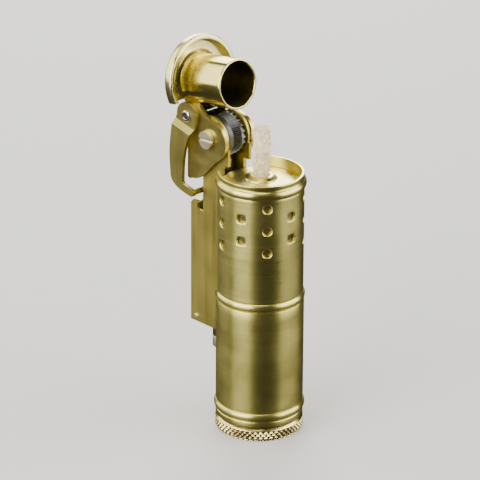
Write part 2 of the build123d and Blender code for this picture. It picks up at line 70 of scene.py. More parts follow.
AXIS_GAP = 0.004           # radius that stands for zero, so that no face folds up on an axis


# =========================== mesh helpers ===========================

def new_object(name, points, faces, sharp=35.0, uvs=None):
    """Object from millimetre points; edges sharper than `sharp` degrees stay crisp."""
    mesh = bpy.data.meshes.new(name)
    mesh.from_pydata([tuple(c * MM for c in p) for p in points], [], faces)
    if uvs:
        layer = mesh.uv_layers.new(name="surface")
        for polygon, corners in zip(mesh.polygons, uvs):
            for loop, uv in zip(polygon.loop_indices, corners):
                layer.data[loop].uv = uv
    return finish_mesh(name, mesh, sharp)


def finish_mesh(name, mesh, sharp):
    """Smooth-shaded object of a mesh, linked to the scene."""
    mesh.validate()
    for polygon in mesh.polygons:
        polygon.use_smooth = True
    mesh.set_sharp_from_angle(angle=math.radians(sharp))
    piece = bpy.data.objects.new(name, mesh)
    bpy.context.scene.collection.objects.link(piece)
    return piece


def grid(name, rows, around=True, closed=True, place=Matrix(), sharp=35.0, u_length=1.0):
    """Mesh from rows of points: columns join round when `around`, rows join end to end when `closed`."""
    n_rows = len(rows)
    n_cols = len(rows[0])
    points = [place @ Vector(p) for row in rows for p in row]
    travel = [0.0]
    for below, above in zip(rows, rows[1:] + rows[:1]):
        travel.append(travel[-1] + (Vector(above[0]) - Vector(below[0])).length)
    faces = []
    uvs = []
    for j in range(n_rows if closed else n_rows - 1):
        for i in range(n_cols if around else n_cols - 1):
            j2 = (j + 1) % n_rows
            i2 = (i + 1) % n_cols
            faces.append((j * n_cols + i, j * n_cols + i2, j2 * n_cols + i2, j2 * n_cols + i))
            u0 = u_length * i / n_cols
            u1 = u_length * (i + 1) / n_cols
            uvs.append(((u0, travel[j]), (u1, travel[j]), (u1, travel[j + 1]), (u0, travel[j + 1])))
    return new_object(name, points, faces, sharp, uvs)


def rounded(corners, steps=6):
    """Closed outline of (a, b, radius) corners with each corner turned into an arc."""
    outline = []
    count = len(corners)
    for k, (a, b, radius) in enumerate(corners):
        here = Vector((a, b))
        before = Vector(corners[k - 1][:2]) - here
        after = Vector(corners[(k + 1) % count][:2]) - here
        if radius <= 0 or before.length < 1e-9 or after.length < 1e-9:
            outline.append((a, b))
            continue
        half = before.angle(after) / 2
        back = min(radius / math.tan(half), before.length * 0.49, after.length * 0.49)
        start = here + before.normalized() * back
        end = here + after.normalized() * back
        for s in range(steps + 1):
            t = s / steps
            p = start * (1 - t) ** 2 + here * 2 * t * (1 - t) + end * t ** 2
            outline.append((p.x, p.y))
    return outline


def split_long(outline, longest):
    """Outline with its long straight runs cut into shorter ones."""
    result = []
    for (a0, b0), (a1, b1) in zip(outline, outline[1:] + outline[:1]):
        parts = max(1, math.ceil(math.hypot(a1 - a0, b1 - b0) / longest))
        result += [(a0 + (a1 - a0) * s / parts, b0 + (b1 - b0) * s / parts) for s in range(parts)]
    return result


def lathe(name, outline, place=Matrix(), segments=192, sharp=35.0):
    """Solid of revolution about Z from a closed (radius, z) outline."""
    rows = []
    widest = max(r for r, z in outline)
    for r, z in outline:
        r = max(r, AXIS_GAP)
        rows.append([(r * math.cos(t), r * math.sin(t), z) for t in turns(segments)])
    return grid(name, rows, place=place, sharp=sharp, u_length=2 * math.pi * widest)


def turns(segments):
    """Evenly spaced angles of one full turn."""
    return [2 * math.pi * s / segments for s in range(segments)]


def refined_copy(node, width, segments=3, angle=28.0, sharp=40.0):
    """A CAD node's mesh with flat faces merged and every hard edge rounded to `width` millimetres."""
    work = bmesh.new()
    work.from_mesh(NODES[node].data)
    bmesh.ops.remove_doubles(work, verts=work.verts, dist=0.0005 * MM)
    bmesh.ops.dissolve_limit(work, angle_limit=math.radians(0.4), verts=work.verts, edges=work.edges)
    mesh = bpy.data.meshes.new(node + "_look")
    work.to_mesh(mesh)
    work.free()
    piece = bpy.data.objects.new(node + "_look", mesh)
    bpy.context.scene.collection.objects.link(piece)
    bevel = piece.modifiers.new("rounding", "BEVEL")
    bevel.width = width * MM
    bevel.segments = segments
    bevel.limit_method = "ANGLE"
    bevel.angle_limit = math.radians(angle)
    bevel.use_clamp_overlap = True
    bevel.miter_outer = "MITER_ARC"
    apply_modifiers(piece)
    for polygon in piece.data.polygons:
        polygon.use_smooth = True
    piece.data.set_sharp_from_angle(angle=math.radians(sharp))
    weighted = piece.modifiers.new("normals", "WEIGHTED_NORMAL")
    weighted.keep_sharp = True
    apply_modifiers(piece)
    return piece


def apply_modifiers(piece):
    """Bake a piece's modifiers into its mesh."""
    bpy.context.view_layer.update()
    graph = bpy.context.evaluated_depsgraph_get()
    mesh = bpy.data.meshes.new_from_object(piece.evaluated_get(graph))
    piece.modifiers.clear()
    piece.data = mesh


def add(piece, body, material, slot, *nodes):
    """Give a piece its material, let it ride on a body and stand for CAD nodes. The slot argument is not
    used.
    """
    piece.data.materials.clear()
    piece.data.materials.append(material)
    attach(piece, body)
    if nodes:
        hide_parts(*nodes)
    return piece


# =========================== materials ===========================

class Shader:
    """Small helper round one Principled material's node tree."""

    def __init__(self, name, **sockets):
        """Material whose Principled sockets take the given constants."""
        self.material = bpy.data.materials.new(name)
        self.material.use_nodes = True
        self.tree = self.material.node_tree
        self.surface = self.tree.nodes["Principled BSDF"]
        for socket, value in sockets.items():
            self.surface.inputs[socket.replace("_", " ")].default_value = value

    def node(self, kind, settings=None, **inputs):
        """New node with its settings and its inputs given by name."""
        made = self.tree.nodes.new(kind)
        for key, value in (settings or {}).items():
            setattr(made, key, value)
        for key, value in inputs.items():
            self.feed(made.inputs[key.replace("_", " ")], value)
        return made

    def feed(self, socket, value):
        """Link a socket to another one, or give it a constant."""
        if isinstance(value, bpy.types.NodeSocket):
            self.tree.links.new(value, socket)
        else:
            socket.default_value = value

    def maths(self, operation, a, b=0.0):
        """Result of one sum, product or root."""
        made = self.tree.nodes.new("ShaderNodeMath")
        made.operation = operation
        self.feed(made.inputs[0], a)
        self.feed(made.inputs[1], b)
        return made.outputs[0]

    def coordinates(self, output="Object"):
        """Texture coordinate output, in metres for the object's own space."""
        return self.node("ShaderNodeTexCoord").outputs[output]

    def stretched(self, source, scale):
        """Coordinates scaled by a different amount along each axis."""
        made = self.node("ShaderNodeMapping", Vector=source)
        made.inputs["Scale"].default_value = scale
        return made.outputs[0]

    def noise(self, vector, scale, detail=3.0, roughness=0.55):
        """Cloudy value between 0 and 1."""
        made = self.node("ShaderNodeTexNoise", Vector=vector, Scale=scale, Detail=detail, Roughness=roughness)
        return made.outputs["Fac"]

    def ramp(self, factor, low, high, start=0.0, end=1.0):
        """Colour that runs from low to high as the factor goes from start to end."""
        made = self.node("ShaderNodeValToRGB", Fac=factor)
        made.color_ramp.elements[0].position = start
        made.color_ramp.elements[0].color = low
        made.color_ramp.elements[1].position = end
        made.color_ramp.elements[1].color = high
        return made.outputs["Color"]

    def span(self, factor, low, high, start=0.0, end=1.0):
        """Value mapped from start..end to low..high."""
        made = self.node("ShaderNodeMapRange", Value=factor)
        made.inputs["From Min"].default_value = start
        made.inputs["From Max"].default_value = end
        made.inputs["To Min"].default_value = low
        made.inputs["To Max"].default_value = high
        return made.outputs[0]

    def bump(self, height, strength, distance):
        """Normal of a surface raised by a height, `distance` in metres at full strength."""
        made = self.node("ShaderNodeBump", Height=height, Strength=strength, Distance=distance)
        return made.outputs[0]


def colour(r, g, b):
    """Opaque colour for a colour socket."""
    return (r, g, b, 1.0)


GRAIN_SCALE = 2500.0       # noise cells in a metre
GRAIN_DEPTH = 0.006 * MM


def brass(name, bright, deep, roughness, variation=0.06, lines=None, line_depth=0.0, anisotropy=0.0,
          tarnish=0.25):
    """Brass with cloudy colour, varied roughness and brush lines.

    lines is None, "round" (along a lathe piece's own turns) or an object-space stretch vector.
    """
    turned = lines == "round"
    shader = Shader(name, Metallic=1.0, Anisotropic=anisotropy, Anisotropic_Rotation=0.25 if turned else 0.0)
    if turned:
        place = shader.coordinates("UV")
        brush = shader.stretched(place, (0.05, 9.0, 1.0))
        coarse = shader.stretched(place, (0.02, 2.2, 1.0))
        tangent = shader.node("ShaderNodeTangent", {"direction_type": "UV_MAP", "uv_map": "surface"})
        shader.feed(shader.surface.inputs["Tangent"], tangent.outputs[0])
    else:
        place = shader.coordinates("Object")
        stretch = lines or (900.0, 900.0, 900.0)
        brush = shader.stretched(place, stretch)
        coarse = shader.stretched(place, tuple(value * 0.3 for value in stretch))
    cloud = shader.noise(shader.coordinates("Object"), 130.0, 4.0)
    fine = shader.noise(brush, 1.0, 2.0)
    broad = shader.noise(coarse, 1.0, 3.0)
    streak = shader.maths("ADD", shader.maths("MULTIPLY", fine, 0.6), shader.maths("MULTIPLY", broad, 0.4))
    tone = shader.maths("ADD", shader.maths("MULTIPLY", cloud, tarnish),
                        shader.maths("MULTIPLY", streak, 1 - tarnish))
    base = shader.ramp(tone, colour(*deep), colour(*bright), 0.32, 0.66)
    shader.feed(shader.surface.inputs["Base Color"], base)
    rough = shader.span(streak, roughness - variation, roughness + variation, 0.3, 0.7)
    worn = shader.maths("ADD", rough, shader.span(cloud, -0.03, 0.05, 0.35, 0.7))
    shader.feed(shader.surface.inputs["Roughness"], worn)
    if line_depth:
        shader.feed(shader.surface.inputs["Normal"], shader.bump(streak, 0.35, line_depth * MM))
    return shader.material


def steel(name, bright, deep, roughness):
    """Bright or dark steel with a fine grain and cloudy colour."""
    shader = Shader(name, Metallic=1.0)
    place = shader.coordinates("Object")
    grain = shader.noise(shader.stretched(place, (GRAIN_SCALE, GRAIN_SCALE, GRAIN_SCALE)), 1.0, 3.0)
    cloud = shader.noise(place, 500.0, 3.0)
    tone = shader.maths("ADD", shader.maths("MULTIPLY", grain, 0.5), shader.maths("MULTIPLY", cloud, 0.5))
    base = shader.ramp(tone, colour(*deep), colour(*bright), 0.3, 0.7)
    shader.feed(shader.surface.inputs["Base Color"], base)
    rough = shader.span(tone, roughness - 0.07, roughness + 0.1, 0.3, 0.7)
    shader.feed(shader.surface.inputs["Roughness"], rough)
    shader.feed(shader.surface.inputs["Normal"], shader.bump(grain, 0.25, GRAIN_DEPTH))
    return shader.material


def cut_steel(name, centre_x, centre_z, inner, outer):
    """File-cut steel of the wheel: grey lands on the teeth and grooves between them darkened with painted
    shade.
    """
    shader = Shader(name, Metallic=1.0)
    place = shader.coordinates("Object")
    split = shader.node("ShaderNodeSeparateXYZ", Vector=place)
    across = shader.maths("SUBTRACT", split.outputs[0], centre_x)
    upward = shader.maths("SUBTRACT", split.outputs[2], centre_z)
    squares = [shader.maths("MULTIPLY", side, side) for side in (across, upward)]
    reach = shader.maths("SQRT", shader.maths("ADD", *squares))
    # Painted shade: the colour runs from near black at the bottom of the grooves up to grey on the lands.
    height = shader.span(reach, 0.0, 1.0, inner, outer)
    grain = shader.noise(place, GRAIN_SCALE, 3.0)
    tone = shader.maths("ADD", shader.maths("MULTIPLY", height, 0.8), shader.maths("MULTIPLY", grain, 0.35))
    base = shader.ramp(tone, colour(0.012, 0.012, 0.011), colour(0.17, 0.175, 0.165), 0.3, 1.0)
    shader.feed(shader.surface.inputs["Base Color"], base)
    shader.feed(shader.surface.inputs["Roughness"], shader.span(tone, 0.62, 0.36))
    shader.feed(shader.surface.inputs["Normal"], shader.bump(grain, 0.25, GRAIN_DEPTH))
    return shader.material


def matte(name, bright, deep, roughness, scale, depth, sheen=0.0, subsurface=0.0):
    """Rubber or cotton: soft colour variation and a bump at the given scale."""
    shader = Shader(name, Sheen_Weight=sheen, Subsurface_Weight=subsurface)
    shader.surface.inputs["Subsurface Scale"].default_value = 0.4 * MM
    grain = shader.noise(shader.coordinates("Object"), scale, 5.0, 0.65)
    base = shader.ramp(grain, colour(*deep), colour(*bright), 0.3, 0.65)
    shader.feed(shader.surface.inputs["Base Color"], base)
    shader.feed(shader.surface.inputs["Roughness"], shader.span(grain, roughness - 0.1, roughness + 0.05))
    shader.feed(shader.surface.inputs["Normal"], shader.bump(grain, 0.5, depth * MM))
    return shader.material


# Lengthwise brush lines on sheet, as a noise stretch along Z.
SHEET_BRUSH = (1200.0, 1200.0, 60.0)
WHEEL_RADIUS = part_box("spark_wheel")[1][2] - AXLE_Z * MM
casing_brass = brass("casing_brass", (0.72, 0.65, 0.20), (0.64, 0.56, 0.14), 0.33, 0.05, "round", 0.003, 0.75)
screen_brass = brass("screen_brass", (0.75, 0.68, 0.22), (0.66, 0.58, 0.15), 0.32, 0.05, "round", 0.003, 0.75)
# Darker brass with painted shade for the tank tube seen in the gap behind the sleeve's holes; the flint tube
# and filler neck share it.
tank_brass = brass("tank_brass", (0.54, 0.45, 0.17), (0.42, 0.34, 0.10), 0.30)
dome_brass = brass("dome_brass", (0.95, 0.88, 0.36), (0.84, 0.76, 0.22), 0.32, 0.10, tarnish=0.7)
knurled_brass = brass("knurled_brass", (0.78, 0.66, 0.30), (0.60, 0.48, 0.17), 0.22)
housing_brass = brass("housing_brass", (0.56, 0.47, 0.12), (0.50, 0.41, 0.09), 0.44, 0.05, SHEET_BRUSH, 0.003)
bracket_brass = brass("bracket_brass", (0.74, 0.63, 0.20), (0.64, 0.52, 0.13), 0.31, 0.05,
                      (300.0, 300.0, 500.0), 0.002)
lever_brass = brass("lever_brass", (0.44, 0.37, 0.11), (0.36, 0.30, 0.08), 0.42, 0.05, SHEET_BRUSH, 0.003)
lid_brass = brass("lid_brass", (0.86, 0.78, 0.36), (0.74, 0.64, 0.20), 0.27, 0.05, tarnish=0.6)
snuffer_brass = brass("snuffer_brass", (0.86, 0.76, 0.26), (0.77, 0.65, 0.17), 0.19, 0.04,
                      "round", 0.002, 0.4)
# Near-black brass with painted shade for the inside of the snuffer's bore.
bore_painted_shade_brass = brass("bore_painted_shade_brass", (0.24, 0.21, 0.07), (0.08, 0.07, 0.025), 0.5, 0.1, tarnish=0.8)
screw_brass = brass("screw_brass", (0.95, 0.88, 0.62), (0.86, 0.76, 0.46), 0.40, 0.06)
wheel_steel = steel("wheel_steel", (0.22, 0.22, 0.21), (0.08, 0.08, 0.08), 0.45)
wheel_teeth = cut_steel("wheel_teeth", AXLE_X * MM, AXLE_Z * MM, WHEEL_RADIUS - 0.22 * MM, WHEEL_RADIUS)
spring_steel = steel("spring_steel", (0.80, 0.80, 0.79), (0.62, 0.62, 0.62), 0.22)
rivet_steel = steel("rivet_steel", (0.86, 0.80, 0.76), (0.66, 0.60, 0.57), 0.20)
flint_alloy = steel("flint_alloy", (0.24, 0.24, 0.25), (0.15, 0.15, 0.16), 0.6)
seal_rubber = matte("seal_rubber", (0.03, 0.03, 0.03), (0.015, 0.015, 0.015), 0.7, 2500.0, 0.02)
cotton = matte("cotton", (0.90, 0.87, 0.80), (0.78, 0.74, 0.65), 0.95, 1500.0, 0.1, sheen=0.4)
wick_cotton = matte("wick_cotton", (0.90, 0.79, 0.53), (0.56, 0.43, 0.21), 0.95, 1400.0, 0.05,
                    sheen=0.12, subsurface=0.1)


# =========================== body ===========================

TANK_R = 7.3
CASING_R = 8.0


BEAD_SECTION_R = 1.0


def spread(start, end, parts):
    """Evenly spaced values from start up to, and without, end."""
    return [start + (end - start) * s / parts for s in range(parts)]


def arc(centre_r, centre_z, radius, start, end, steps):
    """Points of an arc between two angles in degrees."""
    points = []
    for s in range(steps + 1):
        a = math.radians(start + (end - start) * s / steps)
        points.append((centre_r + radius * math.cos(a), centre_z + radius * math.sin(a)))
    return points


def bulge(centre_z, reach, base, steps=14):
    """Outline of a rolled bead that stands out of a tube of radius `base` as far as `reach`."""
    centre_r = reach - BEAD_SECTION_R
    span = math.degrees(math.acos((base - centre_r) / BEAD_SECTION_R)) - 2
    return arc(centre_r, centre_z, BEAD_SECTION_R, -span, span, steps)


def lower_casing():
    """Tube with a rolled bead near its foot and a fine groove on each side of the bead."""
    low, high = corner_mm("lower_casing")
    bead_z = 4.7
    outline = [(TANK_R + 0.02, low.z), (CASING_R - 0.1, low.z)]
    outline += [(CASING_R - 0.03, low.z + 0.03), (CASING_R, low.z + 0.1)]
    outline += [(CASING_R, bead_z - 1.05), (CASING_R - 0.02, bead_z - 0.98)]
    outline += [(CASING_R - 0.11, bead_z - 0.9), (CASING_R - 0.11, bead_z - 0.76)]
    outline += bulge(bead_z, high.x, CASING_R)
    outline += [(CASING_R - 0.1, bead_z + 0.74), (CASING_R - 0.1, bead_z + 0.86)]
    outline += [(CASING_R - 0.02, bead_z + 0.95), (CASING_R, bead_z + 1.05)]
    outline += [(CASING_R, z) for z in spread(bead_z + 1.5, high.z - 0.3, 12)]
    outline += [(CASING_R, high.z - 0.14), (CASING_R - 0.04, high.z - 0.05), (CASING_R - 0.14, high.z),
                (TANK_R + 0.02, high.z)]
    piece = lathe("lower_casing_look", outline, segments=256)
    add(piece, "tank", casing_brass, "casing_brass", "lower_casing")


def filler_cap():
    """Cap with crossed knurling cut round its edge."""
    high = corner_mm("filler_cap")[1]
    radius = high.x
    count = 52
    per_tooth = 10
    depth = 0.26
    step = 2 * math.pi * radius / count
    rows = []
    height = 2.5
    chamfer_z = 1.98
    face = [(0.0, 0.0), (2.0, 0.0), (6.5, 0.0), (radius - 0.34, 0.0), (radius - 0.26, 0.02)]
    rows += [(r, z, 0.0) for r, z in face]
    band = 22
    band_foot = 0.1
    for k in range(band + 1):
        z = band_foot + (chamfer_z - band_foot) * k / band
        edge = z - band_foot
        rows.append((radius - max(0.0, 0.18 - edge), z, min(1.0, edge / 0.12, (chamfer_z - z) / 0.06)))
    shoulder = [(radius - 0.02, chamfer_z + 0.03), (radius - 0.08, chamfer_z + 0.1),
                (radius - 0.38, height - 0.1), (radius - 0.5, height - 0.02), (radius - 0.62, height),
                (6.0, height), (0.0, height)]
    rows += [(r, z, 0.0) for r, z in shoulder]
    grid_rows = []
    for r, z, cut in rows:
        row = []
        for t in turns(count * per_tooth):
            lead = t * count / (2 * math.pi)
            rise = z / step
            grooves = [abs(2 * ((lead + side * rise) % 1.0) - 1) for side in (-1, 1)]
            groove = max(max(0.0, (g - 0.25) / 0.75) for g in grooves)
            here = max(r - cut * depth * groove, AXIS_GAP)
            row.append((here * math.cos(t), here * math.sin(t), z))
        grid_rows.append(row)
    piece = grid("filler_cap_look", grid_rows, closed=False, sharp=50.0, u_length=50.0)
    add(piece, "filler", knurled_brass, "knurled_brass", "filler_cap")
    plug_r = 4.4
    plug_foot = height - 0.1
    plug = rounded([(0.0, high.z, 0.0), (0.0, plug_foot, 0.0),
                    (plug_r, plug_foot, 0.0), (plug_r, high.z, 0.4)])
    add(lathe("filler_plug_look", plug, segments=96), "filler", knurled_brass, "knurled_brass")


COLLAR_SEAT_R = 1.95


def top_plate():
    """Shallow dome on the tank, pierced for the wick tube, with a rounded edge."""
    low, high = corner_mm("top_plate")
    edge = TANK_R - 0.02
    top = high.z
    skirt = low.z + 1.6
    dome_steps = 24
    dome = []
    for k in range(dome_steps + 1):
        r = COLLAR_SEAT_R + (edge - 0.35 - COLLAR_SEAT_R) * k / dome_steps
        dome.append((r, top - 0.01 - 0.85 * ((r - COLLAR_SEAT_R) / (edge - COLLAR_SEAT_R)) ** 1.6))
    rim = rounded([(edge - 0.15, top - 0.9, 0.1), (edge, top - 1.05, 0.1),
                   (edge, skirt, 0.0), (edge - 0.5, skirt, 0.0)])
    outline = dome + rim + [(COLLAR_SEAT_R, top - 0.5)]
    add(lathe("top_plate_look", outline, segments=192), "tank", dome_brass, "dome_brass", "top_plate")


def wick_collar():
    """Wick tube with its coned collar on the dome."""
    low, high = corner_mm("wick_tube")
    base = corner_mm("top_plate")[1].z
    bore = 1.55
    outline = rounded([
        (bore, low.z, 0.0), (COLLAR_SEAT_R, low.z, 0.0), (COLLAR_SEAT_R, base - 0.25, 0.0),
        (high.x, base - 0.16, 0.06), (high.x - 0.1, base + 0.1, 0.12), (2.15, high.z - 0.06, 0.2),
        (bore + 0.07, high.z, 0.12), (bore, high.z - 0.15, 0.05)])
    add(lathe("wick_collar_look", outline, segments=128), "tank", dome_brass, "dome_brass", "wick_tube")


# =========================== wind-screen ===========================

HOLE_STEP = 35.4
HOLE_PITCH = 4.25
HOLE_TOP_Z = 45.6
HOLE_R = 0.78
SCREEN_R = 7.83
SCREEN_BORE = 7.35
CELL = HOLE_PITCH / 4      # half the side of the square cell round each hole
HOLES_FOOT_Z = HOLE_TOP_Z - 2 * HOLE_PITCH - CELL
CELL_CUTS = 8
SLOT_HALF_ANGLE = 47.0     # half of the slot for the flint housing, in degrees


def windscreen():
    """Slotted sleeve with staggered holes, laid out as a grid with a square cell round each hole."""
    low, high = corner_mm("windscreen_sleeve")
    end = math.pi - math.radians(SLOT_HALF_ANGLE)
    cell_angle = CELL / SCREEN_R
    angles = []
    columns = {}
    centres = [math.radians(HOLE_STEP * k) for k in range(-3, 4)]
    at = -end
    for k, centre in zip(range(-3, 4), centres):
        angles += spread(at, centre - cell_angle, 12)
        columns[len(angles)] = k
        angles += spread(centre - cell_angle, centre + cell_angle, CELL_CUTS)
        at = centre + cell_angle
    angles += spread(at, end, 12) + [end]
    foot, head = outer_profile(low.z, high.z)
    blocks = {}
    heights = list(foot)
    for b in range(5):
        blocks[len(heights)] = b
        z0 = HOLES_FOOT_Z + b * 2 * CELL
        heights += [(SCREEN_R, z) for z in spread(z0, z0 + 2 * CELL, CELL_CUTS)]
    heights += head
    inner = [(SCREEN_BORE, z) for _, z in heights]
    inner[0] = (SCREEN_BORE + 0.03, heights[0][1])
    build_screen(angles, heights, inner, columns, blocks)


def outer_profile(bottom, top):
    """Outside of the sleeve below the zone of holes, and above it up to the lip."""
    foot_z = bottom + 0.75
    foot = [(SCREEN_R - 0.3, bottom), (SCREEN_R - 0.1, bottom), (SCREEN_R - 0.03, bottom + 0.02)]
    foot += bulge(foot_z, 8.15, SCREEN_R)
    foot += [(SCREEN_R - 0.03, foot_z + 0.75), (SCREEN_R, foot_z + 0.84)]
    foot += [(SCREEN_R, z) for z in spread(foot_z + 1.1, HOLES_FOOT_Z, 6)]
    bead_z = 48.05
    head = [(SCREEN_R, HOLE_TOP_Z + CELL), (SCREEN_R, bead_z - 1.1)]
    head += [(SCREEN_R - 0.03, bead_z - 0.88), (SCREEN_R - 0.05, bead_z - 0.8)]
    head += bulge(bead_z, 8.2, SCREEN_R)
    head += [(SCREEN_R - 0.08, bead_z + 0.82), (SCREEN_R - 0.14, bead_z + 0.95)]
    head += [(SCREEN_R - 0.13, bead_z + 1.15), (SCREEN_R - 0.05, bead_z + 1.35)]
    head += [(SCREEN_R - 0.02, top - 0.16)]
    head += arc(SCREEN_R - 0.14, top - 0.12, 0.12, 0, 90, 5)
    head += [(SCREEN_R - 0.3, top - 0.005)]
    return foot, head


def build_screen(angles, heights, inner, columns, blocks):
    """Mesh of the sleeve: two shells, closed edges, and a ring of faces down through each hole."""
    points = []
    faces = []
    uvs = []
    n = len(angles)

    def point(r, t, z):
        """Add a point and give its index."""
        points.append((r * math.cos(t), r * math.sin(t), z))
        return len(points) - 1

    shells = {}
    for side, profile in (("out", heights), ("in", inner)):
        for j, (r, z) in enumerate(profile):
            for i, t in enumerate(angles):
                shells[side, j, i] = point(r, t, z)

    def quad(a, b, c, d, corner_uvs):
        """Add a face and its surface coordinates."""
        faces.append((a, b, c, d))
        uvs.append(corner_uvs)

    holes = set()
    for i0, k in columns.items():
        for j0, b in blocks.items():
            if (b % 2 == 0) == (k % 2 != 0):
                holes.add((i0, j0))
    inside = set()
    for i0, j0 in holes:
        inside |= {(i0 + i, j0 + j) for i in range(CELL_CUTS) for j in range(CELL_CUTS)}
    for j in range(len(heights) - 1):
        for i in range(n - 1):
            if (i, j) in inside:
                continue
            u0, u1 = angles[i] * SCREEN_R, angles[i + 1] * SCREEN_R
            v0, v1 = heights[j][1], heights[j + 1][1]
            box = ((u0, v0), (u1, v0), (u1, v1), (u0, v1))
            cell = ((j, i), (j, i + 1), (j + 1, i + 1), (j + 1, i))
            quad(*(shells[("out",) + at] for at in cell), box)
            cell = (cell[0],) + cell[:0:-1]
            quad(*(shells[("in",) + at] for at in cell), (box[0],) + box[:0:-1])
    last = len(heights) - 1
    wall = 0.4
    for i in range(n - 1):
        u0, u1 = angles[i] * SCREEN_R, angles[i + 1] * SCREEN_R
        strip = ((u0, 0.0), (u1, 0.0), (u1, wall), (u0, wall))
        for j, near, far in ((0, "in", "out"), (last, "out", "in")):
            quad(shells[near, j, i], shells[near, j, i + 1], shells[far, j, i + 1], shells[far, j, i], strip)
    for i in (0, n - 1):
        for j in range(last):
            ends = (shells["out", j, i], shells["out", j + 1, i], shells["in", j + 1, i], shells["in", j, i])
            v0, v1 = heights[j][1], heights[j + 1][1]
            strip = ((0.0, v0), (0.0, v1), (wall, v1), (wall, v0))
            quad(*(ends if i == 0 else ends[::-1]), strip)
    depth_steps = [(HOLE_R + 0.15, SCREEN_R), (HOLE_R + 0.13, SCREEN_R - 0.02),
                   (HOLE_R + 0.06, SCREEN_R - 0.08), (HOLE_R + 0.02, SCREEN_R - 0.16),
                   (HOLE_R, SCREEN_R - 0.24), (HOLE_R, SCREEN_BORE + 0.04), (HOLE_R + 0.03, SCREEN_BORE)]
    for i0, j0 in holes:
        border = [(i0 + s, j0) for s in range(CELL_CUTS)]
        border += [(i0 + CELL_CUTS, j0 + s) for s in range(CELL_CUTS)]
        border += [(i0 + CELL_CUTS - s, j0 + CELL_CUTS) for s in range(CELL_CUTS)]
        border += [(i0, j0 + CELL_CUTS - s) for s in range(CELL_CUTS)]
        t0 = (angles[i0] + angles[i0 + CELL_CUTS]) / 2
        z0 = (heights[j0][1] + heights[j0 + CELL_CUTS][1]) / 2
        offsets = [((angles[i] - t0) * SCREEN_R, heights[j][1] - z0) for i, j in border]
        rings = [[shells["out", j, i] for i, j in border]]
        ring_uv = [[(t0 * SCREEN_R + du, z0 + dz) for du, dz in offsets]]
        for radius, r in depth_steps:
            rings.append([])
            ring_uv.append([])
            for du, dz in offsets:
                length = math.hypot(du, dz)
                cu, cz = du / length * radius, dz / length * radius
                rings[-1].append(point(r, t0 + cu / SCREEN_R, z0 + cz))
                ring_uv[-1].append((t0 * SCREEN_R + cu, z0 + cz))
        rings.append([shells["in", j, i] for i, j in border])
        ring_uv.append(ring_uv[0])
        for (ring_a, uv_a), (ring_b, uv_b) in zip(zip(rings, ring_uv), zip(rings[1:], ring_uv[1:])):
            for s in range(len(border)):
                e = (s + 1) % len(border)
                quad(ring_a[s], ring_a[e], ring_b[e], ring_b[s], (uv_a[s], uv_a[e], uv_b[e], uv_b[s]))
    piece = new_object("windscreen_look", points, faces, 50.0, uvs)
    drop_loose(piece)
    add(piece, "windscreen", screen_brass, "screen_brass", "windscreen_sleeve")


def drop_loose(piece):
    """Remove points without faces and turn all faces outwards."""
    work = bmesh.new()
    work.from_mesh(piece.data)
    bmesh.ops.delete(work, geom=[v for v in work.verts if not v.link_faces], context="VERTS")
    bmesh.ops.recalc_face_normals(work, faces=work.faces)
    work.to_mesh(piece.data)
    work.free()


# =========================== wheel ===========================

def spark_wheel():
    """Hardened wheel: a finely lined shoulder, file-cut cross teeth and a hub bore."""
    low, high = corner_mm("spark_wheel")
    radius = (high.x - low.x) / 2
    y0, y1 = low.y, high.y
    teeth = 66
    per_tooth = 8
    bore = 1.08
    hub_r = 1.3
    rows = [(bore, y0 + 0.02, 0.0), (hub_r, y0, 0.0)]
    rows += [(radius - 0.5, y0, 0.0), (radius - 0.25, y0 + 0.02, 0.0)]
    bands = 64
    shoulder = y0 + 1.15
    line_pitch = 0.19
    pitch = 0.36
    tooth_depth = 0.2
    for k in range(bands + 1):
        y = y0 + 0.1 + (y1 - y0 - 0.12) * k / bands
        rows.append((radius, y, 1.0))
    rows += [(radius - 0.2, y1, 0.0), (hub_r, y1, 0.0), (bore, y1 - 0.02, 0.0)]
    grid_rows = []
    for r, y, cut in rows:
        row = []
        for t in turns(teeth * per_tooth):
            here = r
            lead = (t * teeth / (2 * math.pi)) % 1.0
            if cut and y < shoulder:
                ring_wave = abs(2 * (((y - y0) / line_pitch) % 1.0) - 1)
                here -= 0.045 * ring_wave + 0.035 * lead
            elif cut:
                across = abs(2 * (((y - shoulder) / pitch) % 1.0) - 1)
                here -= tooth_depth * max(lead, (across - 0.5) / 0.5)
            row.append((here * math.cos(t), here * math.sin(t), y))
        grid_rows.append(row)
    piece = grid("spark_wheel_look", grid_rows, place=ALONG_Y, sharp=50.0, u_length=24.0)
    add(piece, "wheel", wheel_teeth, "wheel_steel", "spark_wheel")


def wheel_ratchet():
    """Ratchet beside the wheel, its tooth edges barely rounded."""
    add(refined_copy("wheel_ratchet", 0.05, 2), "wheel", wheel_steel, "wheel_steel", "wheel_ratchet")


# =========================== lid ===========================

LID_CENTRE = -AXLE_X       # from the axle to the axis of the disc and the snuffer
LID_CUT = 7.01             # from the axle to the disc's straight edge


